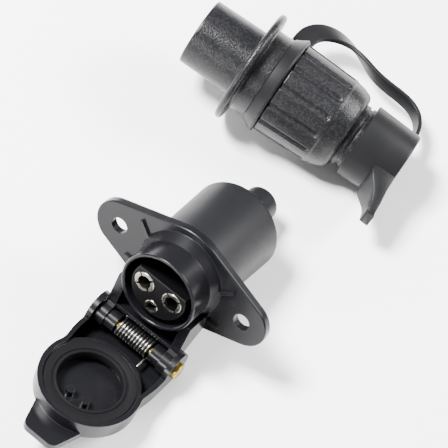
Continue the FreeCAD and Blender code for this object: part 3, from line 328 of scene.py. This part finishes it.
# %% The finishes
finishes = {
    "black_plastic": finish_material(
        "satin_black_plastic", (0.004, 0.004, 0.005), (0.03, 0.03, 0.034), 0.24,
        grain_size=0.25, grain_depth=0.003, marks=0.06, edge_gain=0.5, soften=0.16, ior=1.3),
    # The grained plastic gets painted glints, light specks painted into its colour.
    "grained_plastic": finish_material(
        "grained_black_plastic", (0.0045, 0.0045, 0.0053), (0.035, 0.035, 0.038), 0.3,
        grain_size=0.55, grain_depth=0.055, painted_glint_strength=0.35, marks=0.06, edge_gain=0.35,
        soften=0.3, ior=1.32),
    "insert_plastic": finish_material(
        "insert_black_plastic", (0.002, 0.002, 0.0023), (0.02, 0.02, 0.02), 0.34,
        grain_size=0.3, grain_depth=0.006, soften=0.2, ior=1.18),
    "boot_rubber": finish_material(
        "boot_rubber", (0.0062, 0.0062, 0.0074), (0.015, 0.015, 0.015), 0.46,
        grain_size=0.3, grain_depth=0.008, marks=0.08, edge_gain=0.2, ior=1.27),
    "seal_rubber": finish_material(
        "seal_rubber", (0.0045, 0.0045, 0.005), (0.012, 0.012, 0.012), 0.6,
        grain_size=0.3, grain_depth=0.008, edge_gain=0.3, ior=1.14),
    "soft_rubber": finish_material(
        "strap_rubber", (0.0058, 0.0058, 0.0066), (0.018, 0.018, 0.018), 0.4,
        grain_size=0.3, grain_depth=0.006, marks=0.08, edge_gain=0.3, ior=1.25),
    "nickelled_brass": finish_material(
        "nickelled_brass", (0.4, 0.385, 0.34), (0.5, 0.4, 0.22), 0.2, metallic=1.0,
        grain_size=0.2, grain_depth=0.004, edge_gain=0.4),
    "steel": finish_material(
        "bright_steel", (0.22, 0.215, 0.21), (0.7, 0.69, 0.67), 0.26, metallic=1.0,
        grain_size=0.15, grain_depth=0.004, edge_gain=0.2),
    "black_steel": finish_material(
        "blackened_steel", (0.012, 0.012, 0.013), (0.1, 0.1, 0.1), 0.35, metallic=1.0,
        grain_size=0.15, grain_depth=0.004, edge_gain=0.3),
    "yellow_zinc": finish_material(
        "yellow_zinc", (0.34, 0.25, 0.05), (0.7, 0.62, 0.3), 0.3, metallic=1.0,
        grain_size=0.2, grain_depth=0.006, edge_gain=0.3),
}
slots = {row["node"]: row["material_slot"] for row in frame["record"]["subparts"]}
for name, node in nodes.items():
    node.data.materials.clear()
    node.data.materials.append(finishes[slots[name]])
print("finishes:", ", ".join(finishes))

# %% [markdown]
# ## Turning round pieces
# Most of this set is round, so one way of working serves many pieces. It starts from a
# flat circle, as on a lathe: the rim is extruded along the axis and scaled, ring by ring,
# until the outline is back where it began. Then the first and the last ring are merged,
# and a narrow bevel takes the razor edge off every corner, as a mould does.

# %% Modelling helpers


def start_fresh():
    """Leaves edit mode and deselects everything, so that an operator acts on one piece only."""
    if bpy.context.object and bpy.context.object.mode != "OBJECT":
        bpy.ops.object.mode_set(mode="OBJECT")
    bpy.ops.object.select_all(action="DESELECT")


def pick(piece):
    """Selects one piece and makes it the active one."""
    start_fresh()
    piece.select_set(True)
    bpy.context.view_layer.objects.active = piece


def apply_modifier(piece, kind, **settings):
    """Adds a modifier, sets it and applies it."""
    pick(piece)
    modifier = piece.modifiers.new(kind.lower(), kind)
    for name, value in settings.items():
        setattr(modifier, name, value)
    bpy.ops.object.modifier_apply(modifier=modifier.name)


def turned(name, outline, segments=128):
    """A closed round piece: outline is (radius, height) in mm and comes back to its start."""
    start_fresh()
    (radius, height), rest = outline[0], outline[1:] + outline[:1]
    bpy.ops.mesh.primitive_circle_add(vertices=segments, radius=radius * MM, location=(0, 0, height * MM))
    piece = bpy.context.object
    piece.name = piece.data.name = name
    bpy.ops.object.mode_set(mode="EDIT")
    bpy.ops.mesh.select_all(action="SELECT")
    for next_radius, next_height in rest:
        rise = (next_height - height) * MM
        bpy.ops.mesh.extrude_region_move(TRANSFORM_OT_translate={"value": (0, 0, rise)})
        grow = next_radius / radius
        bpy.ops.transform.resize(value=(grow, grow, 1), center_override=(0, 0, next_height * MM))
        radius, height = next_radius, next_height
    bpy.ops.mesh.select_all(action="SELECT")
    bpy.ops.mesh.remove_doubles(threshold=0.002 * MM)
    bpy.ops.mesh.normals_make_consistent(inside=False)
    bpy.ops.object.mode_set(mode="OBJECT")
    bpy.ops.object.transform_apply(location=True, rotation=True, scale=True)
    return piece


def face_outwards(piece):
    """Turns every face of a piece outwards."""
    pick(piece)
    bpy.ops.object.mode_set(mode="EDIT")
    bpy.ops.mesh.select_all(action="SELECT")
    bpy.ops.mesh.normals_make_consistent(inside=False)
    bpy.ops.object.mode_set(mode="OBJECT")


def place(piece, matrix):
    """Moves a finished piece into the scene and puts its place into its mesh."""
    pick(piece)
    piece.matrix_world = matrix
    bpy.ops.object.transform_apply(location=True, rotation=True, scale=True)


def soften(piece, width, segments=3, angle=35, smooth=40):
    """A narrow bevel on the sharp edges, then smooth shading up to an angle."""
    apply_modifier(piece, "BEVEL", width=width * MM, segments=segments, limit_method="ANGLE",
                   angle_limit=math.radians(angle))
    pick(piece)
    bpy.ops.object.shade_smooth_by_angle(angle=math.radians(smooth))


def finish(piece, material_slot, *replaced):
    """Gives a piece its finish and hides the modelled nodes that it stands for."""
    piece.data.materials.clear()
    piece.data.materials.append(finishes[material_slot])
    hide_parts(*replaced)
    piece.data.calc_loop_triangles()
    print(piece.name, len(piece.data.loop_triangles), "triangles")


def arc(centre, radius, start, end, steps):
    """Points (radius, height) along an arc in the outline's plane, angles in degrees."""
    turn = [math.radians(start + (end - start) * k / steps) for k in range(steps + 1)]
    return [(centre[0] + radius * math.cos(a), centre[1] + radius * math.sin(a)) for a in turn]


# %% [markdown]
# ## Rear boot
# The boot is a thick rubber sleeve that is pushed over the back of the socket and keeps
# rain off the terminals. The truck's cable comes in through its nozzle. It is turned in
# one go: down the outside, round the rear edge, along the nozzle and back up the inside.
# Rubber can't hold a knife edge, so both ends are drawn with real arcs.

# %% Rear boot
BOOT_FRONT, BOOT_BACK = -3.25, -41.2
BOOT_FRONT_R, BOOT_BACK_R = 18.3, 19.1
NOZZLE_ROOT_R, NOZZLE_TIP_R, NOZZLE_LENGTH, CABLE_R = 8.0, 7.2, 18.6, 4.5
BARREL_R, BARREL_END = 15.65, -20.05
BOOT_WALL, BOOT_ROUND = 2.0, 2.5
NOZZLE_FILLET, NOZZLE_ROUND = 0.9, 1.5

nozzle_end = BOOT_BACK - NOZZLE_LENGTH
outline = [(BARREL_R, BOOT_FRONT), (BOOT_FRONT_R - 0.4, BOOT_FRONT), (BOOT_FRONT_R, BOOT_FRONT - 0.4)]
outline += arc((BOOT_BACK_R - BOOT_ROUND, BOOT_BACK + BOOT_ROUND), BOOT_ROUND, 0, -90, 7)
outline += arc((NOZZLE_ROOT_R + NOZZLE_FILLET, BOOT_BACK - NOZZLE_FILLET), NOZZLE_FILLET, 90, 180, 4)
outline += arc((NOZZLE_TIP_R - NOZZLE_ROUND, nozzle_end + NOZZLE_ROUND), NOZZLE_ROUND, 0, -90, 6)
outline += [(CABLE_R + 0.3, nozzle_end), (CABLE_R, nozzle_end + 0.3), (CABLE_R, BOOT_BACK + BOOT_WALL)]
outline += [(BARREL_R - 0.2, BOOT_BACK + BOOT_WALL), (BARREL_R - 0.2, BARREL_END), (BARREL_R, BARREL_END)]
boot = turned("boot", outline)
soften(boot, 0.15, segments=2, angle=50)
place(boot, SOCKET)
finish(boot, "boot_rubber", "rear_boot")
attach(boot, "socket")

# %% [markdown]
# ## Lid seal
# When the lid snaps shut, this flat ring is squeezed against the socket's rim. A narrow
# raised lip runs round its inner edge with a groove beside it, and that lip does the
# sealing. It is turned like the boot, then laid into the lid, whose own Z axis points
# along the lid, so the ring has to be tipped over first.

# %% Lid seal
LID_MIDDLE, SEAL_FACE = 28.0, -1.0
SEAL_R, SEAL_BORE, SEAL_DEPTH = 18.2, 12.9, 3.3

outline = [(SEAL_R, -SEAL_DEPTH), (SEAL_R, -0.35), (SEAL_R - 0.35, 0.0)]
outline += [(SEAL_BORE + 2.1, 0.0), (SEAL_BORE + 1.9, -0.15), (SEAL_BORE + 1.75, -0.6)]
outline += [(SEAL_BORE + 1.3, -0.6), (SEAL_BORE + 1.15, -0.1)]
outline += arc((SEAL_BORE + 0.55, -0.25), 0.5, 20, 160, 6)
outline += [(SEAL_BORE, -0.45), (SEAL_BORE, -SEAL_DEPTH)]
seal = turned("seal", outline, segments=112)
soften(seal, 0.06, segments=2, angle=50)
tipped = Matrix.Rotation(math.radians(-90), 4, "X")
place(seal, LID @ Matrix.Translation((0, SEAL_FACE * MM, LID_MIDDLE * MM)) @ tipped)
finish(seal, "seal_rubber", "lid_seal")
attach(seal, "lid")

# %% [markdown]
# ## Torsion spring
# The spring shuts the lid. It is one length of round wire, close-wound over the hinge
# pin, with a straight leg at each end: one rests on the housing, the other on the lid. A
# small circle of wire is swept by the Screw modifier in quarter turns, and the legs are
# extruded from its two ends. It is wound so that each leg leaves along the wire's own
# direction.

# %% Torsion spring
WIRE_R, COIL_R, COIL_HALF = 0.62, 3.5, 7.8
QUARTER_TURNS = 45
LID_LEG, HOUSING_LEG = 7.9, 3.0

start_fresh()
bpy.ops.mesh.primitive_circle_add(vertices=14, radius=WIRE_R * MM,
                                  location=(-COIL_HALF * MM, 0, -COIL_R * MM),
                                  rotation=(math.radians(90), 0, 0))
spring = bpy.context.object
spring.name = spring.data.name = "spring"
bpy.ops.object.transform_apply(location=True, rotation=True, scale=True)
apply_modifier(spring, "SCREW", axis="X", angle=math.radians(-90), iterations=QUARTER_TURNS, steps=9,
               render_steps=9, screw_offset=2 * COIL_HALF * MM / QUARTER_TURNS, use_merge_vertices=True)


def pull_end(piece, centre, steps):
    """Closes the wire's end near a point and extrudes it by (move, scale) steps."""
    pick(piece)
    bpy.ops.object.mode_set(mode="EDIT")
    bpy.ops.mesh.select_mode(type="VERT")
    bpy.ops.mesh.select_all(action="DESELECT")
    bpy.ops.object.mode_set(mode="OBJECT")
    for vertex in piece.data.vertices:
        vertex.select = (vertex.co - Vector(centre) * MM).length < 1.06 * WIRE_R * MM
    bpy.ops.object.mode_set(mode="EDIT")
    middle = Vector(centre) * MM
    for move, scale in steps:
        middle = middle + Vector(move) * MM
        bpy.ops.mesh.extrude_region_move(TRANSFORM_OT_translate={"value": tuple(Vector(move) * MM)})
        bpy.ops.transform.resize(value=(scale, scale, scale), center_override=tuple(middle))
    bpy.ops.mesh.edge_face_add()
    bpy.ops.object.mode_set(mode="OBJECT")


pull_end(spring, (-COIL_HALF, 0, -COIL_R), [((0, HOUSING_LEG, 0), 1.0), ((0, 0.2, 0), 0.7)])
pull_end(spring, (COIL_HALF, -COIL_R, 0), [((0, 0, LID_LEG - 0.3), 1.0), ((0, 0, 0.25), 0.7)])
face_outwards(spring)
bpy.ops.object.shade_smooth_by_angle(angle=math.radians(45))
place(spring, LID)
finish(spring, "steel", "torsion_spring")
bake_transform(spring)

# %% [markdown]
# ## Strap ring
# The ring is a soft collar that is trapped between the plug's sleeve and the grip, so it
# can turn but can't come off. It widens into a thin lip at the back. It is turned, like
# the boot.

# %% Strap ring
RING_FRONT, RING_BACK, RING_BORE = 34.45, 40.25, 15.7
RING_FRONT_R, RING_LIP_R = 19.3, 21.9

outline = [(RING_BORE, RING_FRONT), (RING_FRONT_R - 0.7, RING_FRONT)]
outline += arc((RING_FRONT_R - 0.7, RING_FRONT + 0.7), 0.7, -90, -20, 4)
outline += [(RING_FRONT_R + 0.9, RING_FRONT + 2.2), (RING_LIP_R - 0.35, RING_BACK - 1.5)]
outline += arc((RING_LIP_R - 0.55, RING_BACK - 1.0), 0.55, 0, 60, 3)
outline += [(RING_LIP_R - 0.9, RING_BACK), (RING_BORE, RING_BACK)]
ring = turned("tether_ring", outline)
soften(ring, 0.12, segments=2, angle=50)
place(ring, PLUG)
finish(ring, "soft_rubber", "strap_ring")
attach(ring, "ring_and_strap")

# %% [markdown]
# ## Cap and its tab
# The rubber cap is pushed over the plug's open end on the road, and over the cable gland
# while the plug is in use. A thick finger tab sticks out on one side. The cup is turned;
# the tab starts as a rounded rectangle inside the cup's wall, which is extruded outwards
# and scaled until it is thin. The steps are larger near the root, which gives it a curve.

# %% Cap
CAP_MOUTH, CAP_END = 77.95, 98.65
CAP_MOUTH_R, CAP_END_R, CAP_BORE, CAP_FLOOR = 16.1, 15.2, 14.1, 2.0

outline = [(CAP_BORE, CAP_MOUTH), (CAP_MOUTH_R - 0.3, CAP_MOUTH), (CAP_MOUTH_R, CAP_MOUTH + 0.3)]
outline += arc((CAP_END_R - 0.9, CAP_END - 0.9), 0.9, 0, 90, 5)
outline += [(8.0, CAP_END), (0.002, CAP_END), (0.002, CAP_END - CAP_FLOOR)]
outline += arc((CAP_BORE - 1.0, CAP_END - CAP_FLOOR - 1.0), 1.0, 90, 0, 4)
cap = turned("cap", outline)

TAB_ROOT, TAB_ROOT_W, TAB_ROOT_T, TAB_CORNER = 12.6, 17.8, 9.7, 0.9
# Distance from the axis, width and thickness of each step.
TAB_SECTIONS = [(15.6, 17.6, 9.6), (17.6, 16.8, 8.4), (20.0, 15.4, 6.6), (22.6, 13.6, 5.0),
                (25.4, 11.6, 4.1), (28.4, 9.8, 3.7), (30.2, 8.8, 3.5), (30.85, 7.6, 2.8)]
width, thickness = TAB_ROOT_W, TAB_ROOT_T
start_fresh()
bpy.ops.mesh.primitive_plane_add(size=1.0, location=(0, 0, 0))
tab = bpy.context.object
tab.name = "tab"
bpy.ops.object.mode_set(mode="EDIT")
bpy.ops.mesh.select_all(action="SELECT")
bpy.ops.transform.resize(value=(width * MM, thickness * MM, 1), center_override=(0, 0, 0))
bpy.ops.mesh.bevel(offset=TAB_CORNER * MM, segments=3, affect="VERTICES")
bpy.ops.mesh.select_all(action="SELECT")
at = TAB_ROOT
back_edge = thickness
for reach, next_width, next_thickness in TAB_SECTIONS:
    lean = (thickness - next_thickness) / 2 * MM
    bpy.ops.mesh.extrude_region_move(TRANSFORM_OT_translate={"value": (0, lean, (reach - at) * MM)})
    middle = (0, (back_edge - thickness) / 2 * MM + lean, (reach - TAB_ROOT) * MM)
    grow = (next_width / width, next_thickness / thickness, 1)
    bpy.ops.transform.resize(value=grow, center_override=middle)
    back_edge += thickness - next_thickness
    at, width, thickness = reach, next_width, next_thickness
bpy.ops.mesh.select_all(action="SELECT")
bpy.ops.mesh.normals_make_consistent(inside=False)
bpy.ops.object.mode_set(mode="OBJECT")
print("tab sections ready, lean", back_edge)

# %% Join the tab to the cap
# The tab was drawn along its own Z axis. Turned over, its Z points away from the cap's
# axis and its Y towards the closed end.
tab_height = (CAP_END - TAB_ROOT_T / 2) * MM
place(tab, Matrix(((1, 0, 0, 0), (0, 0, 1, TAB_ROOT * MM), (0, 1, 0, tab_height), (0, 0, 0, 1))))
face_outwards(tab)
apply_modifier(cap, "BOOLEAN", operation="UNION", solver="EXACT", object=tab)
bpy.data.objects.remove(tab)
pick(cap)
bpy.ops.object.shade_smooth_by_angle(angle=math.radians(38))
place(cap, PLUG)
finish(cap, "soft_rubber", "plug_cap")
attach(cap, "cap")

# %% [markdown]
# ## Strap
# The strap keeps the cap on the plug. It is moulded in one with both, so its shape never
# changes much: it leaves the ring edge-on, bows outwards, and twists a quarter turn
# before it reaches the cap. A curve is right for this: its control points set the bow,
# the tilt of each point sets the twist, and a rounded bar gives it a section.

# %% Strap
STRAP_W, STRAP_T, STRAP_CORNER = 8.9, 2.2, 0.55
# Along the plug, distance from its axis, tilt in degrees, and scale of the section.
STRAP_POINTS = [
    (37.6, 17.0, 90, 0.98), (36.4, 24.0, 90, 0.98), (36.6, 33.0, 88, 0.98), (44.0, 39.5, 78, 0.98),
    (53.0, 40.2, 52, 0.92), (61.0, 37.6, 26, 0.86), (69.0, 33.2, 6, 0.8), (78.0, 32.0, 0, 0.78),
    (88.0, 31.6, 0, 0.76), (95.6, 26.0, 0, 0.74), (97.2, 18.0, 0, 0.74), (97.0, 12.5, 0, 0.74),
]
start_fresh()
bpy.ops.curve.primitive_nurbs_path_add(location=(0, 0, 0))
strap = bpy.context.object
strap.name = "strap"
spline = strap.data.splines[0]
spline.points.add(len(STRAP_POINTS) - len(spline.points))
for point, (along, out, tilt, scale) in zip(spline.points, STRAP_POINTS):
    point.co = (along * MM, out * MM, 0, 1)
    point.tilt = math.radians(tilt)
    point.radius = scale
spline.order_u = 4
spline.use_endpoint_u = True
spline.resolution_u = 10
strap.data.twist_mode = "Z_UP"

start_fresh()
bpy.ops.mesh.primitive_plane_add(size=1.0, location=(0, 0, 0))
bar = bpy.context.object
bpy.ops.object.mode_set(mode="EDIT")
bpy.ops.mesh.select_all(action="SELECT")
bpy.ops.transform.resize(value=(STRAP_T * MM, STRAP_W * MM, 1), center_override=(0, 0, 0))
bpy.ops.mesh.bevel(offset=STRAP_CORNER * MM, segments=4, affect="VERTICES")
bpy.ops.mesh.select_all(action="SELECT")
bpy.ops.mesh.delete(type="ONLY_FACE")
bpy.ops.object.mode_set(mode="OBJECT")
bpy.ops.object.convert(target="CURVE")
bar = bpy.context.object
strap.data.bevel_mode = "OBJECT"
strap.data.bevel_object = bar
strap.data.use_fill_caps = True
pick(strap)
bpy.ops.object.convert(target="MESH")
strap = bpy.context.object
bpy.data.objects.remove(bar)
bpy.ops.object.mode_set(mode="EDIT")
bpy.ops.mesh.select_all(action="SELECT")
bpy.ops.mesh.remove_doubles(threshold=0.005 * MM)
bpy.ops.mesh.normals_make_consistent(inside=False)
bpy.ops.object.mode_set(mode="OBJECT")
bpy.ops.object.shade_smooth_by_angle(angle=math.radians(50))
along_plug = PLUG @ Matrix(((0, 0, 1, 0), (0, -1, 0, 0), (1, 0, 0, 0), (0, 0, 0, 1)))
place(strap, along_plug)
finish(strap, "soft_rubber", "cap_strap")
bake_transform(strap)

# %% [markdown]
# ## Grip shell
# This is the part that a driver holds, so it has fourteen finger grooves between broad
# lands. Cutting grooves with a Boolean leaves ragged edges that a bevel can't follow.
# Here the shell is turned from fine rings instead, and the grooves are pressed in: each
# pass selects a narrower strip round every groove's middle line and shrinks it a little
# towards the axis. Five passes add up to a round-bottomed groove with a round end.

# %% Grip shell, turned
GRIP_FRONT, GRIP_LANDS, GRIP_BACK = 40.55, 64.95, 73.55
GRIP_FRONT_R, GRIP_LAND_R, GRIP_TAIL_R, GRIP_BACK_R = 20.4, 19.6, 19.15, 17.9
GRIP_BORE, GRIP_BACK_BORE = 15.45, 11.45
GRIP_HOLLOW_R, GRIP_SEAT_END, GRIP_BACK_T, GRIP_BACK_ROUND = 15.7, 50.0, 3.0, 3.4
GROOVES, PER_GROOVE = 14, 26
RINGS = 64

outline = [(GRIP_BORE, GRIP_FRONT), (GRIP_FRONT_R - 0.5, GRIP_FRONT)]
outline += arc((GRIP_FRONT_R - 0.5, GRIP_FRONT + 0.5), 0.5, -90, 0, 4)
for k in range(RINGS + 1):
    share = k / RINGS
    outline.append((GRIP_FRONT_R + (GRIP_LAND_R - GRIP_FRONT_R) * share,
                    GRIP_FRONT + 0.8 + (GRIP_LANDS - GRIP_FRONT - 1.2) * share))
outline += [(GRIP_LAND_R - 0.06, GRIP_LANDS - 0.2), (GRIP_LAND_R - 0.2, GRIP_LANDS),
            (GRIP_TAIL_R + 0.08, GRIP_LANDS + 0.35), (GRIP_TAIL_R, GRIP_LANDS + 0.7)]
outline += [(18.85, 67.6), (18.45, 69.4)]
outline += arc((GRIP_BACK_R - GRIP_BACK_ROUND, GRIP_BACK - GRIP_BACK_ROUND), GRIP_BACK_ROUND, 12, 90, 8)
back_wall = GRIP_BACK - GRIP_BACK_T
outline += [(GRIP_BACK_BORE, GRIP_BACK), (GRIP_BACK_BORE, back_wall), (GRIP_HOLLOW_R, back_wall),
            (GRIP_HOLLOW_R, GRIP_SEAT_END), (GRIP_BORE, GRIP_SEAT_END)]
grip = turned("grip", outline, segments=GROOVES * PER_GROOVE)

# %% Grip shell, grooves pressed in
GROOVE_END = GRIP_LANDS - 2.3
PASSES = ((1.25, 0.1), (1.08, 0.26), (0.86, 0.26), (0.62, 0.18), (0.34, 0.1))
pick(grip)
outside = [v.index for v in grip.data.vertices
           if math.hypot(v.co.x, v.co.y) > (GRIP_LAND_R - 1.0) * MM and v.co.z < GRIP_LANDS * MM]
pitch = 2 * math.pi / GROOVES
for reach, depth in PASSES:
    bpy.ops.object.mode_set(mode="EDIT")
    bpy.ops.mesh.select_all(action="DESELECT")
    bpy.ops.object.mode_set(mode="OBJECT")
    for index in outside:
        v = grip.data.vertices[index]
        turn = math.atan2(v.co.y, v.co.x) / pitch
        aside = (turn - math.floor(turn) - 0.5) * pitch * GRIP_FRONT_R
        beyond = max(v.co.z / MM - GROOVE_END, 0.0)
        v.select = math.hypot(aside, beyond) < reach
    bpy.ops.object.mode_set(mode="EDIT")
    shrink = 1 - depth / GRIP_FRONT_R
    bpy.ops.transform.resize(value=(shrink, shrink, 1), center_override=(0, 0, 0))
    bpy.ops.object.mode_set(mode="OBJECT")
pick(grip)
bpy.ops.object.shade_smooth_by_angle(angle=math.radians(50))
place(grip, PLUG)
finish(grip, "grained_plastic", "plug_grip_shell")
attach(grip, "grip_shell")
